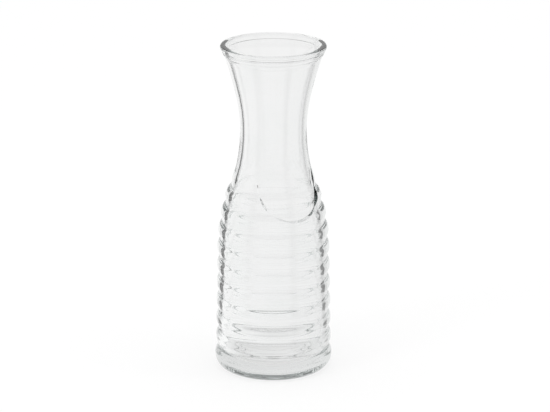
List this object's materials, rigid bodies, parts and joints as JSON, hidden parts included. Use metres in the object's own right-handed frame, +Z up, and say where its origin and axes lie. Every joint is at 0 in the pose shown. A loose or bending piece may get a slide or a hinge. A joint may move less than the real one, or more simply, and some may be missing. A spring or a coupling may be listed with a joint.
{
  "type": "glass carafe",
  "caption": "Tall clear glass carafe without a handle: thick ribbed body, a smooth U-shaped grip on the shoulder, narrow waist and a flared collar lip for pouring.",
  "frame": {"origin": "centre of the foot ring, on the surface that the carafe stands on", "axes": "+Z up along the carafe's axis, -Y towards the grip"},
  "size_m": [0.0988, 0.0988, 0.28],
  "materials": {
    "clear_glass": "clear soda-lime glass, fire polished, with a faint green-grey tint"
  },
  "bodies": {
    "root": {"foot": "clear_glass", "ribbed_body": "clear_glass", "shoulder": "clear_glass", "neck": "clear_glass", "lip": "clear_glass"}
  },
  "joints": []
}
